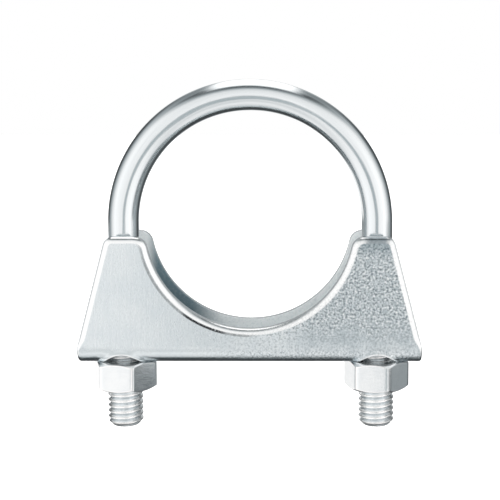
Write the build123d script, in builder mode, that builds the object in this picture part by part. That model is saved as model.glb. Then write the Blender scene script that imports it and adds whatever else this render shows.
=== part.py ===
# U-bolt exhaust clamp: a bent rod with threaded legs, a folded sheet saddle and two hexagon nuts
# Origin on the pipe axis, +Y along the pipe, +Z towards the crown of the U-bolt, millimetres

import os
from math import asin, cos, radians, sin, tan

from build123d import *

os.makedirs("parts", exist_ok=True)

# Driving sizes

# Pipe seat in the saddle
pipe_diameter = 46.0

# U-bolt: rolled M8 threads on a thinner blank rod
rod_diameter = 6.9
leg_spacing = 56.6
thread_diameter = 8.0
thread_length = 28.0
leg_end_z = -46.0
leg_end_chamfer = 1.0
thread_lead_chamfer = 0.45

# Saddle: one sheet folded into a channel that is open at the top
sheet = 2.5
saddle_depth = 14.0
saddle_width = 76.0
floor_z = -31.0
horn_top_z = -2.65
horn_half_width = 31.6
shoulder_z = -27.2
shoulder_radius = 8.0
fold_outer_radius = 4.5
horn_outer_corner = 2.2
horn_inner_corner = 3.0
edge_rounding = 1.3

# Leg holes, punched round in the flat blank and bent with it
leg_hole_diameter = 11.0
neutral_share = 0.44
hole_rim_chamfer = 0.35
slice_count = 9
last_slice_angle = 84.0

# M8 hexagon nuts
nut_across_flats = 13.0
nut_height = 6.5
nut_bearing_diameter = 12.4
nut_bore_diameter = 8.1
nut_countersink_diameter = 8.75
nut_chamfer_angle = 30.0
nut_turn = -11.0

# Sizes that follow from the driving ones

bend_radius = leg_spacing / 2
thread_top_z = leg_end_z + thread_length
leg_positions = (-bend_radius, bend_radius)

half_width = saddle_width / 2
flange_y = saddle_depth / 2
flange_height = horn_top_z - floor_z
fold_inner_radius = fold_outer_radius - sheet
fold_centre_y = flange_y - fold_outer_radius
fold_centre_z = floor_z + fold_outer_radius
neutral_radius = fold_inner_radius + neutral_share * sheet
hole_radius = leg_hole_diameter / 2
slice_middle = (fold_inner_radius + fold_outer_radius) / 2
slice_height = sheet + 1.2

nut_base_z = floor_z - nut_height
nut_bearing_radius = nut_bearing_diameter / 2
nut_cone_radius = nut_across_flats / 2 / cos(radians(30)) + 0.5
nut_cone_drop = (nut_cone_radius - nut_bearing_radius) * tan(radians(nut_chamfer_angle))

# U-bolt

with BuildPart() as u_bolt:
    # Smooth rod: left leg, half-round crown, right leg
    with BuildLine(Plane.XZ) as rod_path:
        Line((-bend_radius, thread_top_z), (-bend_radius, 0))
        ThreePointArc((-bend_radius, 0), (0, bend_radius), (bend_radius, 0))
        Line((bend_radius, 0), (bend_radius, thread_top_z))
    with BuildSketch(Plane(origin=(-bend_radius, 0, thread_top_z))) as rod_section:
        Circle(rod_diameter / 2)
    sweep(path=rod_path.wires()[0])

    # Threaded ends stand proud of the rod, as rolled threads do
    with BuildSketch(Plane.XY.offset(leg_end_z)) as thread_section:
        with Locations([(x, 0) for x in leg_positions]):
            Circle(thread_diameter / 2)
    extrude(amount=thread_length)
    rims = u_bolt.edges().filter_by(GeomType.CIRCLE).group_by(Axis.Z)
    chamfer(rims[0], length=leg_end_chamfer)
    lead_rims = [e for e in rims[1] if e.radius > rod_diameter / 2 + 0.1]
    chamfer(lead_rims, length=thread_lead_chamfer)

u_bolt.part.label = "u_bolt"
export_step(u_bolt.part, "parts/u_bolt.step")

# Saddle


def floor_and_folds(channel):
    """The underside of the channel: the flat of the floor and the outsides of both folds."""
    rounds = channel.faces().filter_by(GeomType.CYLINDER)
    low_rounds = rounds.filter_by(lambda f: f.center().Z < fold_centre_z)
    folds = low_rounds.filter_by(lambda f: abs(f.radius - fold_outer_radius) < 0.01)
    return [channel.faces().sort_by(Axis.Z)[0], *folds]


with BuildPart() as saddle:
    # Channel across the pipe: two flanges, two folds and a floor of one sheet thickness
    with BuildSketch(Plane.YZ.offset(-half_width)) as channel_section:
        with Locations((0, floor_z + flange_height / 2)):
            Rectangle(saddle_depth, flange_height)
        fillet(channel_section.vertices().group_by(Axis.Y)[0], radius=fold_outer_radius)
        with BuildSketch(mode=Mode.PRIVATE) as hollow:
            with Locations((0, floor_z + sheet + flange_height / 2)):
                Rectangle(saddle_depth - 2 * sheet, flange_height)
            fillet(hollow.vertices().group_by(Axis.Y)[0], radius=fold_inner_radius)
        add(hollow.sketch, mode=Mode.SUBTRACT)
    extrude(amount=saddle_width)

    # Flange outline: square ends at the folds, slanted sides, two horns and the pipe arc
    with BuildSketch(Plane.XZ) as flange_outline:
        with BuildLine():
            Polyline(
                (-half_width, floor_z),
                (half_width, floor_z),
                (half_width, shoulder_z),
                (horn_half_width, horn_top_z),
                (-horn_half_width, horn_top_z),
                (-half_width, shoulder_z),
                close=True,
            )
        make_face()
        fillet(flange_outline.vertices().group_by(Axis.Y)[1], radius=shoulder_radius)
        fillet(flange_outline.vertices().group_by(Axis.Y)[-1], radius=horn_outer_corner)
        Circle(pipe_diameter / 2, mode=Mode.SUBTRACT)
        horn_tips = flange_outline.vertices().group_by(Axis.Y)[-1].sort_by(Axis.X)[1:3]
        fillet(horn_tips, radius=horn_inner_corner)
    extrude(amount=saddle_depth, both=True, mode=Mode.INTERSECT)

    # The skin is the sheet's outer side: its whole rim is rolled over from the blanking
    flanges = saddle.faces().filter_by(lambda f: abs(abs(f.center().Y) - flange_y) < 0.01)
    skin_edges = [e for face in [*flanges, *floor_and_folds(saddle)] for e in face.edges()]
    rim = [e for e in skin_edges if sum(e.is_same(other) for other in skin_edges) == 1]
    fillet(rim, radius=edge_rounding)

    # Leg holes: straight through the flat of the floor
    with BuildSketch(Plane.XY.offset(floor_z)) as punched_flat:
        with Locations([(x, 0) for x in leg_positions]):
            Circle(hole_radius)
        Rectangle(saddle_width, 2 * fold_centre_y, mode=Mode.INTERSECT)
    extrude(amount=sheet, mode=Mode.SUBTRACT)

    # Each fold carries the rest of the punched circle with it: the cut is wound round the fold's axis,
    # lofted through radial slices that are as wide as the circle is at that distance along the sheet
    first_angle = asin(fold_centre_y / hole_radius)
    angle_step = (radians(last_slice_angle) - first_angle) / (slice_count - 1)
    for leg_x in leg_positions:
        for side in (-1, 1):
            for k in range(slice_count):
                angle = first_angle + k * angle_step
                along = hole_radius * sin(angle) - fold_centre_y
                turn = along / neutral_radius
                slice_y = side * (fold_centre_y + slice_middle * sin(turn))
                slice_z = fold_centre_z - slice_middle * cos(turn)
                tangent = (0, side * cos(turn), sin(turn))
                across = Plane(origin=(leg_x, slice_y, slice_z), x_dir=(1, 0, 0), z_dir=tangent)
                with BuildSketch(across):
                    Rectangle(2 * hole_radius * cos(angle), slice_height)
            loft(mode=Mode.SUBTRACT)

    # The punch draws the holes' outer rims in a little
    hole_rims = [
        e
        for face in floor_and_folds(saddle)
        for e in face.edges()
        if abs(abs(e.center().X) - bend_radius) < hole_radius
    ]
    chamfer(hole_rims, length=hole_rim_chamfer)

saddle.part.label = "saddle"
export_step(saddle.part, "parts/saddle.step")

# Nuts: chamfered on both faces, threads left as a plain bore

for nut_name, nut_x in zip(("nut_left", "nut_right"), leg_positions):
    base = Plane(origin=(nut_x, 0, nut_base_z))
    upright = Plane(origin=(nut_x, 0, nut_base_z), x_dir=(1, 0, 0), z_dir=(0, -1, 0))
    with BuildPart() as nut:
        with BuildSketch(base) as hexagon:
            RegularPolygon(radius=nut_across_flats / 2, side_count=6, major_radius=False, rotation=nut_turn)
        extrude(amount=nut_height)

        # Chamfer cones at both ends, turned as one profile
        with BuildSketch(upright) as turned_profile:
            with BuildLine():
                Polyline(
                    (0, 0),
                    (nut_bearing_radius, 0),
                    (nut_cone_radius, nut_cone_drop),
                    (nut_cone_radius, nut_height - nut_cone_drop),
                    (nut_bearing_radius, nut_height),
                    (0, nut_height),
                    close=True,
                )
            make_face()
        revolve(axis=Axis((nut_x, 0, 0), (0, 0, 1)), mode=Mode.INTERSECT)

        # Countersunk bore
        with BuildSketch(base) as bore_section:
            Circle(nut_bore_diameter / 2)
        extrude(amount=nut_height, mode=Mode.SUBTRACT)
        circles = nut.edges().filter_by(GeomType.CIRCLE)
        mouths = circles.filter_by(lambda e: e.radius < nut_countersink_diameter / 2)
        chamfer(mouths, length=(nut_countersink_diameter - nut_bore_diameter) / 2)

    nut.part.label = nut_name
    export_step(nut.part, f"parts/{nut_name}.step")
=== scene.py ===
"""The clamp's looks: a rolled-thread U-bolt, a pressed and folded saddle and two hexagon nuts, all bright zinc."""

import math
from math import acos, atan2, cos, pi, radians, sin, sqrt, tan
from types import SimpleNamespace

import bpy
import numpy as np
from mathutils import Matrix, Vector
from mathutils.geometry import delaunay_2d_cdt


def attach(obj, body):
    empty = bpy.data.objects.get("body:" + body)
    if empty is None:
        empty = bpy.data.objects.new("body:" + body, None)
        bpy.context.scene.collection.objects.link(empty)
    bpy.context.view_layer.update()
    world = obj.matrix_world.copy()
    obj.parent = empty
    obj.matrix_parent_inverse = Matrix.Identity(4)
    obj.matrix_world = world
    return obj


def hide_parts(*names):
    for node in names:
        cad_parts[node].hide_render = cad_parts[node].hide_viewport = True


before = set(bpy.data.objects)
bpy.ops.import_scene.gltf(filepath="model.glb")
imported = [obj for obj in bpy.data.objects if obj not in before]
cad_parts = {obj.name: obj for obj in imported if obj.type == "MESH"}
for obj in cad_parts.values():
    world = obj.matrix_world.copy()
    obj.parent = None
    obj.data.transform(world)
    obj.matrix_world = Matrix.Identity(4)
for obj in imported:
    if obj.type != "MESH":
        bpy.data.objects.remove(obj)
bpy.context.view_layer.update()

MM = 0.001

# Sizes of the clamp, in millimetres, the same as in the part's source
BEND_R = 28.3
ROD_R = 3.45
LEG_END_Z = -46.0
THREAD_TOP_Z = -18.0
PITCH = 1.25

PIPE_R = 23.0
SHEET = 2.5
HALF_WIDTH = 38.0
FLANGE_Y = 7.0
FLOOR_Z = -31.0
HORN_TOP_Z = -2.65
HORN_HALF_WIDTH = 31.6
SHOULDER_Z = -27.2
SHOULDER_R = 8.0
HORN_OUTER_R = 2.2
HORN_INNER_R = 3.0
FOLD_R = 4.5
NEUTRAL_R = 3.1
RIM_WIDTH = 1.3
HOLE_R = 5.5

NUT_FLATS = 13.0
NUT_HEIGHT = 6.5
NUT_FACE_R = 6.2
NUT_BORE_R = 4.05
NUT_MOUTH_R = 4.375
NUT_CORNER = radians(-11.0)
NUT_CHAMFER = radians(30)

# Finer form, which the solids leave out. The rod is eased so that its facets stay inside the CAD's box
ROD_EASE = 0.015

CREST_R = 3.94
ROOT_R = 3.25
CREST_HALF = PITCH / 9
FLANK_ANGLE = radians(30)
CREST_SOFTNESS = 0.10
ROOT_SOFTNESS = 0.22
LEAD_IN_DEPTH = 1.0
LEAD_IN_SOFTNESS = 0.12
RUN_OUT = 2.2

RIM_SLOPE = radians(52.0)
RIM_CORNER_R = 0.12
RIM_LEAST_SHARE = 0.35
HOLE_RIM_WIDTH = 0.3
HOLE_LIP = 0.22
HOLE_LIP_REACH = (0.15, 1.3)
BURR = 0.12
BURR_ROUND = 0.3

NUT_BEVEL = 0.11
NUT_EASE = 0.06
NUT_CORNER_LOSS = 0.13
NUT_CORNER_SPREAD = 0.055

# Sizes that follow from those
FOLD_START = FLANGE_Y - FOLD_R
FOLD_END = FOLD_START + NEUTRAL_R * pi / 2
FOLD_CENTRE_Z = FLOOR_Z + FOLD_R


# Mesh helpers


def make_piece(name, points, faces, attributes):
    """A smooth-shaded mesh piece from points in millimetres, with area-weighted normals."""
    points = np.asarray(points, float)
    mesh = bpy.data.meshes.new(name)
    mesh.from_pydata((points * MM).tolist(), [], faces)
    mesh.validate()
    mesh.shade_smooth()
    for key, values in attributes.items():
        values = np.asarray(values, np.float32)
        kind, field = ("FLOAT", "value") if values.ndim == 1 else ("FLOAT_VECTOR", "vector")
        layer = mesh.attributes.new(key, kind, "POINT")
        layer.data.foreach_set(field, values.ravel())
    mesh.normals_split_custom_set_from_vertices(weighted_normals(mesh))
    piece = bpy.data.objects.new(name, mesh)
    bpy.context.scene.collection.objects.link(piece)
    return piece


def weighted_normals(mesh):
    """Vertex normals weighted by face area, so that broad flats stay flat beside narrow rounded edges."""
    count = len(mesh.vertices)
    places = np.empty(count * 3)
    mesh.vertices.foreach_get("co", places)
    places = places.reshape(-1, 3)
    mesh.calc_loop_triangles()
    triangles = np.empty(len(mesh.loop_triangles) * 3, np.int32)
    mesh.loop_triangles.foreach_get("vertices", triangles)
    triangles = triangles.reshape(-1, 3)
    first, second, third = (places[triangles[:, corner]] for corner in range(3))
    cross = np.cross(second - first, third - first)
    normals = np.zeros((count, 3))
    for corner in range(3):
        np.add.at(normals, triangles[:, corner], cross)
    lengths = np.linalg.norm(normals, axis=1)
    lengths[lengths == 0] = 1
    return (normals / lengths[:, None]).tolist()


def grid_faces(rows, columns, closed, flip=False):
    """Quads of a grid of rows by columns, joined up around the columns where closed."""
    faces = []
    last = columns if closed else columns - 1
    for j in range(rows - 1):
        for i in range(last):
            k = (i + 1) % columns
            quad = (j * columns + i, j * columns + k, (j + 1) * columns + k, (j + 1) * columns + i)
            faces.append(quad[::-1] if flip else quad)
    return faces


def cleaned(points, faces, attributes):
    """The same mesh with points that coincide merged, and without faces that have shrunk to a line or a point."""
    merge_step = 1e-5
    keys = np.round(points / merge_step).astype(np.int64)
    _, keep, merged = np.unique(keys, axis=0, return_index=True, return_inverse=True)
    merged = merged.ravel()
    whole = []
    for face in faces:
        corners = list(dict.fromkeys(int(merged[v]) for v in face))
        if len(corners) > 2:
            whole.append(corners)
    used = sorted({v for face in whole for v in face})
    lookup = {v: k for k, v in enumerate(used)}
    faces = [tuple(lookup[v] for v in face) for face in whole]
    kept = keep[used]
    return points[kept], faces, {key: values[kept] for key, values in attributes.items()}


def smooth_step(x, low, high):
    t = np.clip((x - low) / (high - low), 0, 1)
    return t * t * (3 - 2 * t)


def soft_min(a, b, width):
    """The smaller of two values, blended over a width where they cross."""
    mix = np.clip(0.5 + 0.5 * (b - a) / width, 0, 1)
    return b + (a - b) * mix - width * mix * (1 - mix)


# The smooth rod of the U-bolt


def rod_path():
    """Left leg, half-round crown and right leg: rows of (x, z, direction x, direction z, distance travelled)."""
    leg_rows = 26
    bend_rows = 210
    path = []
    for k in range(leg_rows):
        z = THREAD_TOP_Z * (1 - k / leg_rows)
        path.append((-BEND_R, z, 0, 1, z - THREAD_TOP_Z))
    for k in range(bend_rows + 1):
        turn = pi * (1 - k / bend_rows)
        travelled = -THREAD_TOP_Z + BEND_R * (pi - turn)
        path.append((BEND_R * cos(turn), BEND_R * sin(turn), sin(turn), -cos(turn), travelled))
    for k in range(1, leg_rows + 1):
        z = THREAD_TOP_Z * k / leg_rows
        path.append((BEND_R, z, 0, -1, -THREAD_TOP_Z + BEND_R * pi - z))
    return path


def rod_piece():
    around = 112
    grain_along = 0.05
    skin_r = ROD_R - ROD_EASE
    path = rod_path()
    points, grain = [], []
    for x, z, direction_x, direction_z, travelled in path:
        for i in range(around):
            phi = 2 * pi * i / around
            outward, sideways = skin_r * cos(phi), skin_r * sin(phi)
            points.append((x - direction_z * outward, sideways, z + direction_x * outward))
            grain.append((outward, sideways, travelled * grain_along))
    rows = len(path)
    faces = grid_faces(rows, around, True, flip=True)
    faces.append(tuple(range(around)))
    faces.append(tuple(range((rows - 1) * around, rows * around))[::-1])
    return make_piece("u_bolt_rod", points, faces, {"grain": grain})


# A rolled right-hand thread, sheared so that its edges run along the helix


def thread_radius(offset):
    """Radius of the thread at an axial distance from the middle of its crest."""
    flank = CREST_R + (CREST_HALF - np.abs(offset)) / tan(FLANK_ANGLE)
    top = soft_min(flank, np.full_like(flank, CREST_R), CREST_SOFTNESS)
    return -soft_min(-top, np.full_like(top, -ROOT_R), ROOT_SOFTNESS)


def thread_piece(name, leg_x):
    around = 100
    per_pitch = 20
    end_band, end_height = 0.05, 0.45
    turns_below, turns_above = 2, 3
    columns = around + 1
    turns = turns_below + int((THREAD_TOP_Z - LEG_END_Z) / PITCH) + turns_above
    rows = turns * per_pitch + 1
    climbed = PITCH * np.arange(rows) / per_pitch
    phi = 2 * pi * np.arange(columns) / around
    raw = (LEG_END_Z - turns_below * PITCH + climbed)[:, None] + PITCH * phi[None, :] / (2 * pi)
    offset = (climbed + PITCH / 2) % PITCH - PITCH / 2
    radius = np.repeat(thread_radius(offset)[:, None], columns, axis=1)

    # For the material: height on the thread's flank, 0 in the root and 1 on the crest, and even over the end face
    height = (radius - ROOT_R) / (CREST_R - ROOT_R)
    height = np.where(raw < LEG_END_Z + end_band, end_height, height)

    # The thread runs out into the rod at the top, and its lowest turn is cut by the lead-in chamfer
    radius = ROD_R + (radius - ROD_R) * (1 - smooth_step(raw, THREAD_TOP_Z - RUN_OUT, THREAD_TOP_Z))
    lead_in = CREST_R - LEAD_IN_DEPTH + np.clip(raw - LEG_END_Z, 0, None)
    radius = soft_min(radius, lead_in, LEAD_IN_SOFTNESS)

    # What reaches past either end is drawn in to the axis, which closes the ends
    below = np.clip(LEG_END_Z - raw, 0, PITCH) / PITCH
    above = np.clip(raw - THREAD_TOP_Z, 0, PITCH) / PITCH
    radius = radius * (1 - below) * (1 - above)
    x = radius * np.cos(phi)
    y = radius * np.sin(phi)
    z = np.clip(raw, LEG_END_Z, THREAD_TOP_Z)
    points = np.stack([leg_x + x, y, z], axis=-1).reshape(-1, 3)
    grain = np.stack([x, y, z], axis=-1).reshape(-1, 3)
    attributes = {"grain": grain, "height": height.reshape(-1)}
    return make_piece(name, *cleaned(points, grid_faces(rows, columns, False), attributes))


# The saddle, worked out flat as its blank and then folded. On the blank, x runs from left to right and s is
# the distance from the middle of the floor, along the sheet: up the back flange, or up the front one if negative


def blank_s(z):
    """Distance along the blank from the middle of the floor to where the outer skin is at height z."""
    if z >= FOLD_CENTRE_Z:
        return FOLD_END + z - FOLD_CENTRE_Z
    return FOLD_START + NEUTRAL_R * acos((FOLD_CENTRE_Z - z) / FOLD_R)


def folded(x, s, depth):
    """Where a point of the blank, at a depth under its outer skin, lies on the folded saddle."""
    side = 1.0 if s >= 0 else -1.0
    d = abs(s)
    if d <= FOLD_START:
        return x, s, FLOOR_Z + depth
    if d < FOLD_END:
        turn = (d - FOLD_START) / NEUTRAL_R
        r = FOLD_R - depth
        return x, side * (FOLD_START + r * sin(turn)), FOLD_CENTRE_Z - r * cos(turn)
    return x, side * (FLANGE_Y - depth), FOLD_CENTRE_Z + d - FOLD_END


def arc_points(cx, cz, r, first, turn, count):
    """Points of an arc that starts at the angle first and goes on by turn."""
    angles = [first + turn * k / count for k in range(count + 1)]
    return [(cx + r * cos(angle), cz + r * sin(angle)) for angle in angles]


def corner_arc(before, corner, after, r, count):
    """Points of the arc of radius r that rounds a corner."""
    a = Vector(before) - Vector(corner)
    b = Vector(after) - Vector(corner)
    a.normalize()
    b.normalize()
    half = a.angle(b) / 2
    centre = Vector(corner) + (a + b).normalized() * (r / sin(half))
    start = Vector(corner) + a * (r / tan(half))
    end = Vector(corner) + b * (r / tan(half))
    first = atan2(start.y - centre.y, start.x - centre.x)
    turn = atan2(end.y - centre.y, end.x - centre.x) - first
    turn = (turn + pi) % (2 * pi) - pi
    return arc_points(centre.x, centre.y, r, first, turn, count)


def flange_outline():
    """Half of one flange's outline as (x, z), from the fold line up over the right horn to the arc's lowest point."""
    shoulder_steps, horn_steps, arc_steps = 12, 14, 110
    end = (HALF_WIDTH, FLOOR_Z)
    shoulder = (HALF_WIDTH, SHOULDER_Z)
    horn = (HORN_HALF_WIDTH, HORN_TOP_Z)
    top = (0, HORN_TOP_Z)
    tip_z = HORN_TOP_Z - HORN_INNER_R
    tip_x = sqrt((PIPE_R + HORN_INNER_R) ** 2 - tip_z**2)
    low = atan2(tip_z, tip_x)
    return (
        corner_arc(end, shoulder, horn, SHOULDER_R, shoulder_steps)
        + corner_arc(shoulder, horn, top, HORN_OUTER_R, horn_steps)
        + arc_points(tip_x, tip_z, HORN_INNER_R, pi / 2, low + pi - pi / 2, horn_steps)
        + arc_points(0, 0, PIPE_R, low, -pi / 2 - low, arc_steps)[1:]
    )


def resampled(line, step):
    """The same line with extra points, so that none are much further apart than step."""
    out = [line[0]]
    for p, q in zip(line, line[1:]):
        parts = max(1, int(math.dist(p, q) / step + 0.5))
        for k in range(1, parts + 1):
            out.append((p[0] + (q[0] - p[0]) * k / parts, p[1] + (q[1] - p[1]) * k / parts))
    return out


def saddle_outline():
    """The whole blank's outline as (x, s), anticlockwise."""
    outline_step = 0.45
    flange = [(x, blank_s(z)) for x, z in flange_outline()]
    quarter = resampled([(HALF_WIDTH, 0.0)] + flange, outline_step)
    back = quarter + [(-x, s) for x, s in quarter[-2::-1]]
    front = [(x, -s) for x, s in back[-2:0:-1]]
    return np.array(back + front)


def inward_normals(loop):
    """Unit normals of a closed anticlockwise loop, towards its inside."""
    ahead = np.roll(loop, -1, axis=0) - loop
    behind = loop - np.roll(loop, 1, axis=0)
    ahead /= np.linalg.norm(ahead, axis=1)[:, None]
    behind /= np.linalg.norm(behind, axis=1)[:, None]
    along = ahead + behind
    along /= np.linalg.norm(along, axis=1)[:, None]
    return np.stack([-along[:, 1], along[:, 0]], axis=1)


def inside(spots, loop):
    """Which spots lie inside a closed loop."""
    x, y = spots[:, 0], spots[:, 1]
    result = np.zeros(len(spots), bool)
    for (x1, y1), (x2, y2) in zip(loop, np.roll(loop, -1, axis=0)):
        if y1 == y2:
            continue
        crossing = (y1 > y) != (y2 > y)
        result ^= crossing & (x < (x2 - x1) * (y - y1) / (y2 - y1) + x1)
    return result


def distance_to_loop(spots, loop):
    """How far each spot is from the nearest point of a loop."""
    nearest = np.full(len(spots), np.inf)
    for p in loop:
        nearest = np.minimum(nearest, np.hypot(spots[:, 0] - p[0], spots[:, 1] - p[1]))
    return nearest


def rim_profile(width):
    """The rolled-over rim as (distance from the edge, depth): a broad slope, then a tight corner to the cut wall."""
    slope_steps = 8
    corner_steps = 4
    broad = (width - RIM_CORNER_R * (1 - sin(RIM_SLOPE))) / sin(RIM_SLOPE)
    rows = []
    for k in range(slope_steps + 1):
        turn = RIM_SLOPE * k / slope_steps
        rows.append((width - broad * sin(turn), broad * (1 - cos(turn))))
    last_distance, last_depth = rows[-1]
    for k in range(1, corner_steps + 1):
        turn = RIM_SLOPE + (pi / 2 - RIM_SLOPE) * k / corner_steps
        distance = last_distance - RIM_CORNER_R * (sin(turn) - sin(RIM_SLOPE))
        rows.append((distance, last_depth + RIM_CORNER_R * (cos(RIM_SLOPE) - cos(turn))))
    return rows


def edge_rows(rim, margins):
    """Rings from the skin over the rim, down the cut wall and onto the inner side, each as
    (distance from the edge, depth by rolling over, depth straight down)."""
    rows = [(distance + rim, 0.0, 0.0) for distance in reversed(margins)]
    rows += [(distance, depth, 0.0) for distance, depth in rim_profile(rim)]
    rolled_depth = rows[-1][1]
    for down in (0.25, 0.5, 0.75, 1.0):
        rows.append((0.0, rolled_depth * (1 - down), (SHEET - BURR) * down))
    return rows + [(BURR * BURR_ROUND, 0.0, SHEET - BURR * BURR_ROUND), (BURR, 0.0, SHEET)]


def rim_share(s):
    """How much of the rolled-over rim is there at a point of the outline: little at the ends of folds and floor."""
    below, above = 1.2, 1.8
    return RIM_LEAST_SHARE + (1 - RIM_LEAST_SHARE) * smooth_step(abs(s), FOLD_END - below, FOLD_END + above)


def hole_lip(s, distance):
    """How far the skin stands out near a leg hole, where folding has stretched the hole's rim."""
    begins, full = 0.4, 1.6
    in_fold = smooth_step(abs(s), FOLD_START + begins, FOLD_START + full)
    return HOLE_LIP * in_fold * (1 - smooth_step(distance, *HOLE_LIP_REACH))


def filling_rows():
    """Distances along the blank of the rows of points that fill the skin, close together in the folds."""
    fold_step = NEUTRAL_R * radians(4.5)
    above_fold, flange_step = 1.2, 1.6
    fold_steps = round((FOLD_END - FOLD_START) / fold_step)
    rows = [0.0] + [FOLD_START + k * fold_step for k in range(fold_steps + 1)]
    s = FOLD_END + above_fold
    while s < blank_s(HORN_TOP_Z):
        rows.append(s)
        s += flange_step
    return rows


def filling_spots():
    """Points over the blank's whole width on those rows, on both sides of the floor's middle."""
    margin, spacing = 1.0, 1.5
    spots = []
    for s in filling_rows():
        x = -HALF_WIDTH + margin
        while x < HALF_WIDTH:
            spots += [(x, s), (x, -s)] if s else [(x, s)]
            x += spacing
    return np.array(spots)


class Blank:
    """The saddle's mesh on its flat blank."""

    def __init__(self):
        self.flat, self.edge, self.depth, self.lip, self.faces = [], [], [], [], []

    def add_point(self, x, s, edge, depth, lip=0.0):
        self.flat.append((x, s))
        self.edge.append(edge)
        self.depth.append(depth)
        self.lip.append(lip)
        return len(self.flat) - 1

    def add_ring(self, loop, normals, row, is_hole):
        """A ring of points that follows a loop; the number of its first point."""
        first = len(self.flat)
        distance, rolled, straight = row
        for p, normal in zip(loop, normals):
            share = 1.0 if is_hole else rim_share(p[1])
            x, s = p + normal * distance * share
            depth = rolled * share + straight
            lip = hole_lip(s, distance) if is_hole and depth < SHEET / 2 else 0.0
            self.add_point(x, s, distance, depth, lip)
        return first

    def add_edge(self, loop, normals, rows, is_hole):
        """The rim and cut wall along a loop; its first and last ring, each as (first point, number of points)."""
        count = len(loop)
        rings = [self.add_ring(loop, normals, row, is_hole) for row in rows]
        for upper, lower in zip(rings, rings[1:]):
            for i in range(count):
                k = (i + 1) % count
                self.faces.append((upper + i, upper + k, lower + k, lower + i))
        return (rings[0], count), (rings[-1], count)

    def fill(self, rings, depth, upward):
        """Fill one side of the sheet between the outline's ring and those of the holes."""
        far_from_edge = 9.0
        clearance, tolerance = 0.35, 1e-3
        only_inside, merge_distance = 1, 1e-7
        loops = [np.array(self.flat[first : first + count]) for first, count in rings]
        holes = [(loop.mean(axis=0), np.linalg.norm(loop[0] - loop.mean(axis=0))) for loop in loops[1:]]
        spots = filling_spots()
        spots = spots[inside(spots, loops[0])]
        spots = spots[distance_to_loop(spots, loops[0]) > clearance]
        for centre, radius in holes:
            spots = spots[np.linalg.norm(spots - centre, axis=1) > radius + clearance]

        corners, edges, numbers = [], [], []
        for first, count in rings:
            base = len(corners)
            for i in range(count):
                corners.append(Vector(self.flat[first + i]))
                numbers.append(first + i)
                edges.append((base + i, base + (i + 1) % count))
        for x, s in spots:
            corners.append(Vector((x, s)))
            numbers.append(self.add_point(x, s, far_from_edge, depth))

        made, _, triangles, origins, _, _ = delaunay_2d_cdt(corners, edges, [], only_inside, merge_distance)
        for triangle in triangles:
            middle = sum((made[v] for v in triangle), Vector((0, 0))) / len(triangle)
            if any(math.dist(middle, centre) < radius - tolerance for centre, radius in holes):
                continue
            face = tuple(numbers[origins[v][0]] for v in triangle)
            self.faces.append(face if upward else face[::-1])


def saddle_piece():
    hole_count = 96
    outline = saddle_outline()
    angles = 2 * pi * np.arange(hole_count) / hole_count
    ring = np.stack([np.cos(angles), np.sin(angles)], axis=1)
    blank = Blank()
    outline_rows = edge_rows(RIM_WIDTH, (0.3, 0.6))
    hole_rows = edge_rows(HOLE_RIM_WIDTH, (0.2, 0.4, 0.6, 0.8, 1.0))
    rings = [blank.add_edge(outline, inward_normals(outline), outline_rows, False)]
    for leg_x in (-BEND_R, BEND_R):
        hole = ring * HOLE_R + np.array([leg_x, 0.0])
        rings.append(blank.add_edge(hole[::-1], ring[::-1], hole_rows, True))
    blank.fill([outer for outer, _ in rings], 0.0, False)
    blank.fill([inner for _, inner in rings], SHEET, True)

    points = [folded(x, s, depth - lip) for (x, s), depth, lip in zip(blank.flat, blank.depth, blank.lip)]
    grain = [(x, s, depth) for (x, s), depth in zip(blank.flat, blank.depth)]
    attributes = {"grain": grain, "edge": blank.edge, "depth": blank.depth}
    return make_piece("saddle_sheet", points, blank.faces, attributes)


# Hexagon nuts with chamfered faces


def angle_to_corner(phi):
    """How far a direction is turned from the hexagon's nearest corner."""
    return pi / 6 - abs((phi + pi / 6) % (pi / 3) - pi / 6)


def hexagon_radius(phi):
    """Distance from the nut's axis to its side, with the corners rounded a little."""
    to_corner = angle_to_corner(phi)
    rounding = NUT_CORNER_LOSS * math.exp(-((to_corner / NUT_CORNER_SPREAD) ** 2))
    return NUT_FLATS / 2 / cos(pi / 6 - to_corner) - rounding


def nut_profile(side):
    """Half of the nut's section, from the middle of the bore to the middle of a side, as
    (radius, height, distance from the nearest edge)."""
    slope = tan(NUT_CHAMFER)
    mouth = NUT_MOUTH_R - NUT_BORE_R
    drop = (side - NUT_FACE_R) * slope
    cut = min(NUT_BEVEL, (side - NUT_FACE_R) / 2)
    return [
        (NUT_BORE_R, NUT_HEIGHT / 2, 5.0),
        (NUT_BORE_R, mouth + 0.05, 0.3),
        (NUT_BORE_R + 0.03, mouth - 0.02, 0.0),
        (NUT_MOUTH_R - 0.03, 0.04, 0.0),
        (NUT_MOUTH_R + 0.05, 0.0, 0.0),
        (NUT_MOUTH_R + 0.5, 0.0, 0.5),
        (NUT_FACE_R - 0.35, 0.0, 0.4),
        (NUT_FACE_R - NUT_EASE, 0.0, 0.05),
        (NUT_FACE_R + NUT_EASE * cos(NUT_CHAMFER), NUT_EASE * slope * cos(NUT_CHAMFER), 0.0),
        (side - cut * cos(NUT_CHAMFER), drop - cut * slope * cos(NUT_CHAMFER), 0.1),
        (side - cut * 0.35, drop + cut * 0.02, 0.0),
        (side - cut * 0.12, drop + cut * 0.38, 0.0),
        (side, drop + cut, 0.1),
        (side, drop + cut + 0.7, 0.8),
        (side, NUT_HEIGHT / 2, 3.0),
    ]


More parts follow.
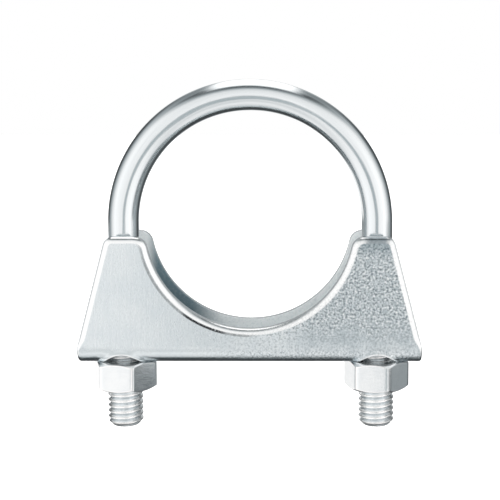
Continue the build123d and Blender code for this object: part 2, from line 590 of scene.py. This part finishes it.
def nut_piece(name, leg_x):
    # Sections crowd together towards the corners, where the chamfer's curve and the rounding are
    shares = [0, 0.12, 0.25, 0.4, 0.55, 0.7, 0.8, 0.86, 0.90, 0.93, 0.955, 0.975, 0.99]
    half = [pi / 6 * share for share in shares]
    sector = sorted({-a for a in half} | set(half) | {pi / 6})
    angles = [pi / 3 * k + a for k in range(6) for a in sector]
    base = FLOOR_Z - NUT_HEIGHT
    points, grain, edge = [], [], []
    for phi in angles:
        lower = nut_profile(hexagon_radius(phi))
        upper = [(r, NUT_HEIGHT - z, e) for r, z, e in reversed(lower[1:-1])]
        turned = phi + pi / 6 + NUT_CORNER
        for r, z, from_edge in lower + upper:
            x, y = r * cos(turned), r * sin(turned)
            points.append((leg_x + x, y, base + z))
            grain.append((x, y, z))
            from_corner = angle_to_corner(phi) * NUT_FLATS / 2
            edge.append(min(from_edge, from_corner) if r > NUT_FACE_R else from_edge)
    columns = len(angles)
    rows = len(points) // columns
    faces = []
    for i in range(columns):
        k = (i + 1) % columns
        for j in range(rows):
            n = (j + 1) % rows
            faces.append((i * rows + j, i * rows + n, k * rows + n, k * rows + j))
    return make_piece(name, points, faces, {"grain": grain, "edge": edge})


# Node helpers


class Nodes:
    """A short way to build a node tree."""

    def __init__(self, tree):
        self.tree = tree
        tree.nodes.clear()

    def new(self, kind):
        return self.tree.nodes.new("ShaderNode" + kind)

    def put(self, socket, value):
        """Link another node's output to a socket, or set the socket's own value."""
        if hasattr(value, "is_output"):
            self.tree.links.new(value, socket)
        else:
            socket.default_value = value

    def fill(self, node, **values):
        for name, value in values.items():
            self.put(node.inputs[name], value)

    def math(self, operation, *values):
        node = self.new("Math")
        node.operation = operation
        for socket, value in zip(node.inputs, values):
            self.put(socket, value)
        return node.outputs[0]

    def scaled(self, value, factor, offset=0.0):
        """value * factor + offset."""
        return self.math("MULTIPLY_ADD", value, factor, offset)

    def product(self, *factors):
        result = factors[0]
        for factor in factors[1:]:
            result = self.math("MULTIPLY", result, factor)
        return result

    def ramp(self, value, low, high, to_low=0.0, to_high=1.0):
        """A smooth step from to_low, where the value is low, to to_high, where it is high."""
        node = self.new("MapRange")
        node.interpolation_type = "SMOOTHSTEP"
        for socket, v in zip(node.inputs, (value, low, high, to_low, to_high)):
            self.put(socket, v)
        return node.outputs[0]

    def noise(self, vector, scale, detail=3.0, rough=0.55):
        node = self.new("TexNoise")
        self.fill(node, Vector=vector, Scale=scale, Detail=detail, Roughness=rough)
        return node.outputs[0]

    def stretched(self, vector, scale):
        node = self.new("Mapping")
        self.fill(node, Vector=vector, Scale=scale)
        return node.outputs[0]

    def attribute(self, name, output="Fac"):
        node = self.new("Attribute")
        node.attribute_type = "GEOMETRY"
        node.attribute_name = name
        return node.outputs[output]

    def coordinates(self, kind):
        return self.new("TexCoord").outputs[kind]

    def parts(self, vector):
        node = self.new("SeparateXYZ")
        self.put(node.inputs[0], vector)
        return node.outputs

    def colour_mix(self, share, a, b):
        """Colour a, or b where the share is 1."""
        node = self.new("Mix")
        node.data_type = "RGBA"
        colours = [socket for socket in node.inputs if socket.type == "RGBA"]
        self.put(node.inputs[0], share)
        for socket, colour in zip(colours, (a, b)):
            self.put(socket, colour)
        return next(socket for socket in node.outputs if socket.type == "RGBA")

    def bump(self, height, strength, distance):
        node = self.new("Bump")
        self.fill(node, Height=height, Strength=strength, Distance=distance)
        return node.outputs[0]

    def shader_mix(self, share, a, b):
        node = self.new("MixShader")
        for socket, value in zip(node.inputs, (share, a.outputs[0], b.outputs[0])):
            self.put(socket, value)
        return node


def new_material(name):
    """A new material with the node helper for its tree."""
    material = bpy.data.materials.new(name)
    material.use_nodes = True
    return material, Nodes(material.node_tree)


def surface(n, metallic, colour, roughness, **others):
    """The shader of a material, linked to its output."""
    shader = n.new("BsdfPrincipled")
    n.fill(shader, Metallic=metallic, Roughness=roughness, **{"Base Color": colour}, **others)
    n.put(n.new("OutputMaterial").inputs[0], shader.outputs[0])


# Materials. Colours are linear, and lengths in millimetres apart from those of bumps, which are in metres


def rod_material():
    bright, soft, dark = (0.80, 0.845, 0.865, 1), (0.74, 0.79, 0.815, 1), (0.55, 0.60, 0.63, 1)
    material, n = new_material("zinc_rod_looks")
    grain = n.attribute("grain", "Vector")
    cloud = n.noise(grain, 0.35)
    drawn = n.noise(n.stretched(grain, (2.6, 2.6, 1.2)), 1.0, 4.0, 0.6)
    fine = n.noise(grain, 5.0, 2.0)
    colour = n.colour_mix(n.ramp(cloud, 0.35, 0.7), bright, soft)
    colour = n.colour_mix(n.ramp(drawn, 0.6, 0.72, 0.0, 0.35), colour, dark)
    roughness = n.ramp(drawn, 0.3, 0.75, 0.11, 0.20)
    surface(n, 1.0, colour, roughness, Normal=n.bump(n.scaled(fine, 0.35, drawn), 0.35, 0.00004))
    return material


def thread_material():
    flank_colour, crest_highlight_colour = (0.84, 0.885, 0.905, 1), (0.99, 0.995, 0.995, 1)
    root_shade_colour, cloud_colour = (0.22, 0.27, 0.295, 1), (0.50, 0.54, 0.56, 1)
    material, n = new_material("zinc_thread_looks")
    grain = n.attribute("grain", "Vector")
    height = n.attribute("height")
    cloud = n.noise(grain, 0.6)
    speck = n.noise(grain, 3.2, 3.0, 0.65)
    lift = n.math("ADD", height, n.scaled(speck, 0.7, -0.35))
    crest = n.ramp(lift, 0.25, 0.65)
    root = n.ramp(lift, 0.28, 0.0)
    # Painted highlight on the crests and painted shade in the roots
    colour = n.colour_mix(crest, flank_colour, crest_highlight_colour)
    colour = n.colour_mix(n.product(root, 0.45), colour, root_shade_colour)
    colour = n.colour_mix(n.ramp(cloud, 0.5, 0.75, 0.0, 0.12), colour, cloud_colour)
    roughness = n.ramp(crest, 0.0, 1.0, 0.28, 0.14)
    surface(n, 0.88, colour, roughness, Normal=n.bump(speck, 0.4, 0.00008))
    return material


def nut_material():
    bright, soft = (0.83, 0.865, 0.88, 1), (0.79, 0.83, 0.85, 1)
    speck_colour, worn_colour = (0.62, 0.66, 0.68, 1), (0.93, 0.935, 0.94, 1)
    material, n = new_material("zinc_nut_looks")
    grain = n.attribute("grain", "Vector")
    edge = n.attribute("edge")
    cloud = n.noise(grain, 0.3)
    speck = n.noise(grain, 3.0, 3.0, 0.6)
    streak = n.noise(n.stretched(grain, (0.5, 0.5, 3.5)), 1.0, 3.0, 0.6)
    worn = n.ramp(n.scaled(speck, -0.4, edge), 0.12, -0.12)
    colour = n.colour_mix(n.ramp(cloud, 0.35, 0.7), bright, soft)
    colour = n.colour_mix(n.ramp(speck, 0.55, 0.75, 0.0, 0.15), colour, speck_colour)
    colour = n.colour_mix(n.product(worn, 0.7), colour, worn_colour)
    roughness = n.scaled(worn, -0.06, n.ramp(streak, 0.3, 0.7, 0.16, 0.24))
    surface(n, 1.0, colour, roughness, Normal=n.bump(n.scaled(streak, 0.6, speck), 0.3, 0.00004))
    return material


def floor_material():
    material, n = new_material("pale_floor_looks")
    cloud = n.noise(n.coordinates("Object"), 3.0, 2.0)
    colour = n.colour_mix(cloud, (0.93, 0.93, 0.93, 1), (0.96, 0.96, 0.96, 1))
    surface(n, 0.0, colour, 0.9, **{"Emission Color": (1, 1, 1, 1), "Emission Strength": 0.8})
    return material


# The sheet's material works on the blank: across is x, and along is s, which is negative on the front flange,
# -7.4 at the upper end of its fold and -31.2 at the top of its horns. Edge is the distance from the cut edge


def sheet_values(n):
    """The values that the parts of the sheet's looks share."""
    grain = n.attribute("grain", "Vector")
    across, along, _ = n.parts(grain)
    edge = n.attribute("edge")
    depth = n.attribute("depth")
    cloud = n.noise(grain, 0.12)
    return SimpleNamespace(
        across=across,
        along=along,
        edge=edge,
        depth=depth,
        cloud=cloud,
        streak=n.noise(n.stretched(grain, (1.7, 0.16, 1.0)), 1.0, 4.0, 0.6),
        speck=n.noise(grain, 2.2, 4.0, 0.66),
        fine=n.noise(grain, 5.5, 2.0),
        grains=n.noise(grain, 2.0, 4.0, 0.72),
        shade_blotch=n.noise(grain, 0.42, 2.0),
        torn=n.noise(n.stretched(grain, (2.5, 2.5, 0.7)), 1.2, 4.0, 0.7),
        # Matt and grainy towards the right end
        matt=n.ramp(n.scaled(cloud, 10.0, across), -12.0, 12.0),
        # The cut wall, the inner side and the part of the rim that rolls over
        wall=n.product(n.ramp(edge, 0.12, 0.02), n.ramp(depth, 0.72, 0.95)),
        inner=n.ramp(depth, SHEET - 0.25, SHEET - 0.1),
        rolled=n.ramp(edge, RIM_WIDTH + 0.1, RIM_WIDTH - 0.35),
    )


def skin_colour(n, at):
    """The outer skin: smooth towards the left end and grainy towards the right, as rolled from the strip, with
    painted shade over the right end.
    """
    bright, soft, painted_shade_colour = (0.768, 0.828, 0.852, 1), (0.724, 0.79, 0.822, 1), (0.35, 0.425, 0.464, 1)
    grit_colour, pit_colour, spark_colour = (0.36, 0.415, 0.445, 1), (0.14, 0.175, 0.195, 1), (0.92, 0.94, 0.95, 1)
    colour = n.colour_mix(n.ramp(at.cloud, 0.35, 0.7), bright, soft)

    # Painted shade: over the right end above its fold, in blotches, and darkest at the top of the right horn
    right_end_shade = n.ramp(n.scaled(at.cloud, 5.0, at.across), 8.0, 19.0)
    horn_top_shade = n.product(n.ramp(at.across, 21.0, 25.0), n.ramp(at.along, -26.5, -29.5))
    shade = n.scaled(horn_top_shade, 0.50, n.product(right_end_shade, n.ramp(at.along, -5.5, -9.0, 0.0, 0.42)))
    shade = n.math("ADD", shade, n.product(right_end_shade, n.ramp(at.shade_blotch, 0.42, 0.62), 0.20))
    colour = n.colour_mix(shade, colour, painted_shade_colour)

    # Grain: soft grit everywhere, then dark pits and bright sparks on the grainy end. At the top of the right horn,
    # the extra pits and fewer sparks are painted shade
    grit = n.product(n.ramp(at.speck, 0.47, 0.64), n.scaled(at.matt, 0.35, 0.08))
    colour = n.colour_mix(grit, colour, grit_colour)
    top = n.product(n.ramp(at.across, 22.0, 26.0), n.ramp(at.along, -26.0, -30.0))
    grainy = n.product(at.matt, n.ramp(n.scaled(at.cloud, 8.0, at.along), -3.0, -10.0, 0.35, 1.0))
    pits = n.product(n.ramp(at.grains, 0.50, 0.38), n.math("MAXIMUM", grainy, top), 0.95)
    colour = n.colour_mix(pits, colour, pit_colour)
    sparks = n.product(n.ramp(at.grains, 0.51, 0.62), grainy, n.scaled(top, -0.6, 0.90))
    return n.colour_mix(sparks, colour, spark_colour)


def with_rim_highlight(n, at, colour):
    """A painted highlight along the rolled-over rim, with painted shade on it at the top of the right horn. At a leg
    hole it is narrow.
    """
    # bright is the rim's painted highlight, and dark is its painted shade at the top of the right horn
    bright, dark = (0.93, 0.955, 0.965, 1), (0.30, 0.345, 0.37, 1)
    from_leg = n.math("SUBTRACT", n.math("ABSOLUTE", at.across), BEND_R)
    from_hole = n.math("SQRT", n.math("ADD", n.product(from_leg, from_leg), n.product(at.along, at.along)))
    reach = n.ramp(from_hole, HOLE_R + 1.6, HOLE_R + 2.0, 0.45, RIM_WIDTH)
    rim = n.ramp(n.math("SUBTRACT", at.edge, reach), 0.15, -0.15)
    rim = n.product(rim, n.ramp(at.depth, SHEET - 0.5, SHEET - 1.0), 0.85)
    rim_shade_at_horn_top = n.product(n.ramp(at.across, 24.5, 26.5), n.ramp(at.across, 31.0, 29.5), n.ramp(at.along, -29.0, -30.0))
    return n.colour_mix(rim, colour, n.colour_mix(rim_shade_at_horn_top, bright, dark))


def inner_colour(n, at):
    """The inner side: pale, with the arc's left part in shade and a fine grain all over."""
    pale, shaded_colour, grain_colour = (0.95, 0.99, 0.998, 1), (0.125, 0.215, 0.26, 1), (0.50, 0.60, 0.64, 1)
    shaded = n.product(n.ramp(n.scaled(at.speck, 3.0, at.across), -4.0, -13.0), n.ramp(at.across, -24.0, -21.0), 0.93)
    colour = n.colour_mix(shaded, pale, shaded_colour)
    return n.colour_mix(n.ramp(at.grains, 0.5, 0.62, 0.0, 0.30), colour, grain_colour)


def rim_shade_line_share(n, at):
    """A painted shade line on the front where the rim starts to roll over: broad left of the arc's lowest point."""
    line = n.product(
        n.ramp(at.edge, RIM_WIDTH + 0.42, RIM_WIDTH + 0.22),
        n.ramp(at.edge, RIM_WIDTH - 0.30, RIM_WIDTH - 0.10),
        n.ramp(at.along, -3.0, -4.0),
        n.ramp(at.depth, 0.9, 0.6),
    )
    broad = n.product(n.ramp(at.across, -16.5, -13.5), n.ramp(at.across, -3.0, -7.0), n.ramp(at.torn, 0.36, 0.44))
    faint = n.product(n.ramp(at.across, -25.0, -22.5), n.ramp(at.across, 3.0, -2.0), n.ramp(at.torn, 0.30, 0.50), 0.5)
    return n.product(line, n.math("MAXIMUM", broad, faint))


def sheet_roughness(n, at):
    """Satin along the strip's streaks, smoother where it is rolled over or folded, rougher inside."""
    rough = n.math("ADD", n.ramp(at.streak, 0.3, 0.7, 0.24, 0.31), n.product(at.matt, 0.05))
    rough = n.scaled(at.rolled, -0.10, rough)
    burnished = n.ramp(n.math("ABSOLUTE", at.along), FOLD_END - 0.5, FOLD_END - 1.6)
    rough = n.scaled(burnished, -0.13, rough)
    return n.scaled(at.inner, 0.25, rough)


def sheet_height(n, at):
    """Height for the bump: the grain, less of it where the rim is rolled over, the streaks and the torn wall."""
    height = n.scaled(at.fine, 0.4, at.speck)
    height = n.product(height, n.scaled(at.matt, 0.9, 0.35), n.scaled(at.rolled, -0.7, 1.0))
    height = n.scaled(at.streak, 0.2, height)
    return n.scaled(n.product(at.wall, at.torn), 0.6, height)


def sheet_material():
    torn_colour, rim_shade_line_colour = (0.45, 0.49, 0.51, 1), (0.03, 0.033, 0.036, 1)
    material, n = new_material("zinc_sheet_looks")
    at = sheet_values(n)
    colour = with_rim_highlight(n, at, skin_colour(n, at))
    colour = n.colour_mix(n.product(at.wall, n.ramp(at.torn, 0.3, 0.65, 0.35, 0.8)), colour, torn_colour)
    colour = n.colour_mix(at.inner, colour, inner_colour(n, at))
    # A painted shade line along the start of the front rim
    colour = n.colour_mix(rim_shade_line_share(n, at), colour, rim_shade_line_colour)
    metallic = n.ramp(at.inner, 0.0, 1.0, 1.0, 0.30)
    bump = n.bump(sheet_height(n, at), 0.6, 0.00012)
    surface(n, metallic, colour, sheet_roughness(n, at), Normal=bump)
    return material


# Pieces

rod = rod_piece()
rod.data.materials.append(rod_material())
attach(rod, "u_bolt")
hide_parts("u_bolt")

thread_looks = thread_material()
for thread_name, thread_x in (("u_bolt_thread_left", -BEND_R), ("u_bolt_thread_right", BEND_R)):
    thread = thread_piece(thread_name, thread_x)
    thread.data.materials.append(thread_looks)
    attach(thread, "u_bolt")
    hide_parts("u_bolt")

saddle = saddle_piece()
saddle.data.materials.append(sheet_material())
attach(saddle, "saddle")
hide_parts("saddle")

nut_looks = nut_material()
for body_name, nut_x in (("nut_left", -BEND_R), ("nut_right", BEND_R)):
    nut = nut_piece(body_name + "_hexagon", nut_x)
    nut.data.materials.append(nut_looks)
    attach(nut, body_name)
    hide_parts(body_name)


# Stage: a pale floor, well below the clamp, which hangs on its pipe, and a grey card beside the camera


def flat_piece(name, corners, material):
    """A single flat quad, in metres."""
    mesh = bpy.data.meshes.new(name)
    mesh.from_pydata(corners, [], [(0, 1, 2, 3)])
    mesh.materials.append(material)
    piece = bpy.data.objects.new(name, mesh)
    bpy.context.scene.collection.objects.link(piece)
    return piece


FLOOR_HALF = 6.0
FLOOR_LEVEL = -0.30
floor_signs = ((-1, -1), (1, -1), (1, 1), (-1, 1))
floor_corners = [(x * FLOOR_HALF, y * FLOOR_HALF, FLOOR_LEVEL) for x, y in floor_signs]
floor = flat_piece("floor", floor_corners, floor_material())
floor.visible_glossy = False

CAMERA_PLACE = (0.010, -0.260, 0.033)
CARD_HALF_WIDTH = 0.044
CARD_LOW = -0.130
CARD_HIGH = 0.002
CARD_STRENGTH = 0.50
COOL_WHITE = (0.92, 1.0, 1.03, 1)
WARM_WHITE = (1.03, 1.0, 0.985, 1)


def card_material():
    """Even grey light that fades out towards the card's edges."""
    soft_width = 0.012
    soft_height = 0.016
    material, n = new_material("grey_card_looks")
    x, _, z = n.parts(n.coordinates("Object"))
    aside = n.math("ABSOLUTE", n.math("SUBTRACT", x, CAMERA_PLACE[0]))
    solid = n.product(
        n.ramp(aside, CARD_HALF_WIDTH + soft_width, CARD_HALF_WIDTH - soft_width),
        n.ramp(z, CARD_HIGH + soft_height, CARD_HIGH - soft_height),
        n.ramp(z, CARD_LOW - soft_height, CARD_LOW + soft_height),
    )
    body = n.new("Emission")
    n.fill(body, Color=COOL_WHITE, Strength=CARD_STRENGTH)
    mixed = n.shader_mix(solid, n.new("BsdfTransparent"), body)
    n.put(n.new("OutputMaterial").inputs[0], mixed.outputs[0])
    return material


def grey_card():
    """A soft-edged grey card just behind and below the camera: it draws the thin line down the middle of each rod."""
    margin, behind_camera = 0.02, 0.004
    camera_x, camera_y, _ = CAMERA_PLACE
    y = camera_y - behind_camera
    left, right = camera_x - CARD_HALF_WIDTH - margin, camera_x + CARD_HALF_WIDTH + margin
    bottom, top = CARD_LOW - margin, CARD_HIGH + margin
    corners = [(left, y, bottom), (right, y, bottom), (right, y, top), (left, y, top)]
    card = flat_piece("grey_card", corners, card_material())
    card.visible_camera = False
    card.visible_shadow = False


# Light: a bright front and sides, an overhead strip that is narrow from left to right, and a dark back


def sky_level(n, x, y, z):
    """How bright the studio is in a direction. Angles are in degrees: turn is 0 towards the camera and positive to
    the right, pitch climbs from 0 at the camera over the top, and rise is the height above the horizon."""
    front = n.product(y, -1.0)
    turn = n.product(n.math("ARCTAN2", x, front), 180 / pi)
    pitch = n.product(n.math("ARCTAN2", z, front), 180 / pi)
    rise = n.product(n.math("ARCSINE", z), 180 / pi)
    aside = n.math("ABSOLUTE", turn)
    across = n.math("DIVIDE", n.math("ABSOLUTE", x), n.math("MAXIMUM", z, 0.01))
    wall_strength, least = 1.18, 0.07

    def patch(strength, *bounds):
        """A soft-edged patch of light, from bounds as (value, where it is dark, where it is bright)."""
        return n.product(*[n.ramp(*bound) for bound in bounds], strength)

    # Walls: bright at the sides, a little dimmer straight ahead, gone behind the clamp and under the overhead gap,
    # and darker low down on the right
    low_right = patch(-0.88, (turn, 60, 84), (turn, 112, 88), (rise, -5, -13))
    wall = patch(
        n.math("ADD", low_right, 1.0),
        (aside, 135, 55),
        (aside, 6, 60, 0.84, 1.0),
        (rise, 66, 30),
        (rise, 32, 4, 0.90, 1.0),
        (rise, -70, -44),
        (rise, -46, -16, 0.72, 1.0),
    )
    level = n.scaled(wall, wall_strength, least)

    patches = (
        # The table's white, below and in front, fades out behind the clamp
        patch(1.0, (rise, -44, -66), (pitch, -101, -84), (pitch, -84, -70, 0.75, 0.85)),
        # Overhead strip, reaching towards the back
        patch(1.40, (across, 0.46, 0.26), (pitch, 66, 82), (pitch, 168, 138)),
        # A low white card at the back on the left
        patch(1.0, (turn, -112, -126), (turn, -180, -168), (rise, -6, -11), (rise, -34, -26)),
        # The ceiling beside and behind the strip
        patch(0.20, (rise, 22, 44), (pitch, 84, 104)),
        # The far wall behind
        patch(0.45, (aside, 146, 166), (rise, -36, -20), (rise, 44, 24)),
    )
    for light in patches:
        level = n.math("ADD", level, light)
    return level


def light_tent():
    """The studio's light, while the camera itself sees plain white."""
    world = bpy.data.worlds.new("light_tent")
    bpy.context.scene.world = world
    world.use_nodes = True
    n = Nodes(world.node_tree)
    level = sky_level(n, *n.parts(n.coordinates("Generated")))
    shine = n.new("Background")
    n.fill(shine, Color=n.colour_mix(n.ramp(level, 0.1, 1.1), COOL_WHITE, WARM_WHITE), Strength=level)
    plain = n.new("Background")
    n.fill(plain, Color=(1, 1, 1, 1), Strength=1.0)
    mixed = n.shader_mix(n.new("LightPath").outputs["Is Camera Ray"], shine, plain)
    n.put(n.new("OutputWorld").inputs[0], mixed.outputs[0])


light_tent()
grey_card()
bpy.context.scene.view_settings.view_transform = "Standard"

# Camera, level with the crown and a little to the right, looking slightly down

LOOKING_DOWN = radians(5.2)

camera_data = bpy.data.cameras.new("camera")
camera_data.lens = 84.4
camera_data.sensor_width = 36.0
camera_data.shift_x = -0.090
camera_data.shift_y = -0.140
camera_data.clip_start = 0.01
camera = bpy.data.objects.new("camera", camera_data)
camera.location = CAMERA_PLACE
camera.rotation_euler = (pi / 2 - LOOKING_DOWN, 0, 0)
bpy.context.scene.collection.objects.link(camera)
bpy.context.scene.camera = camera
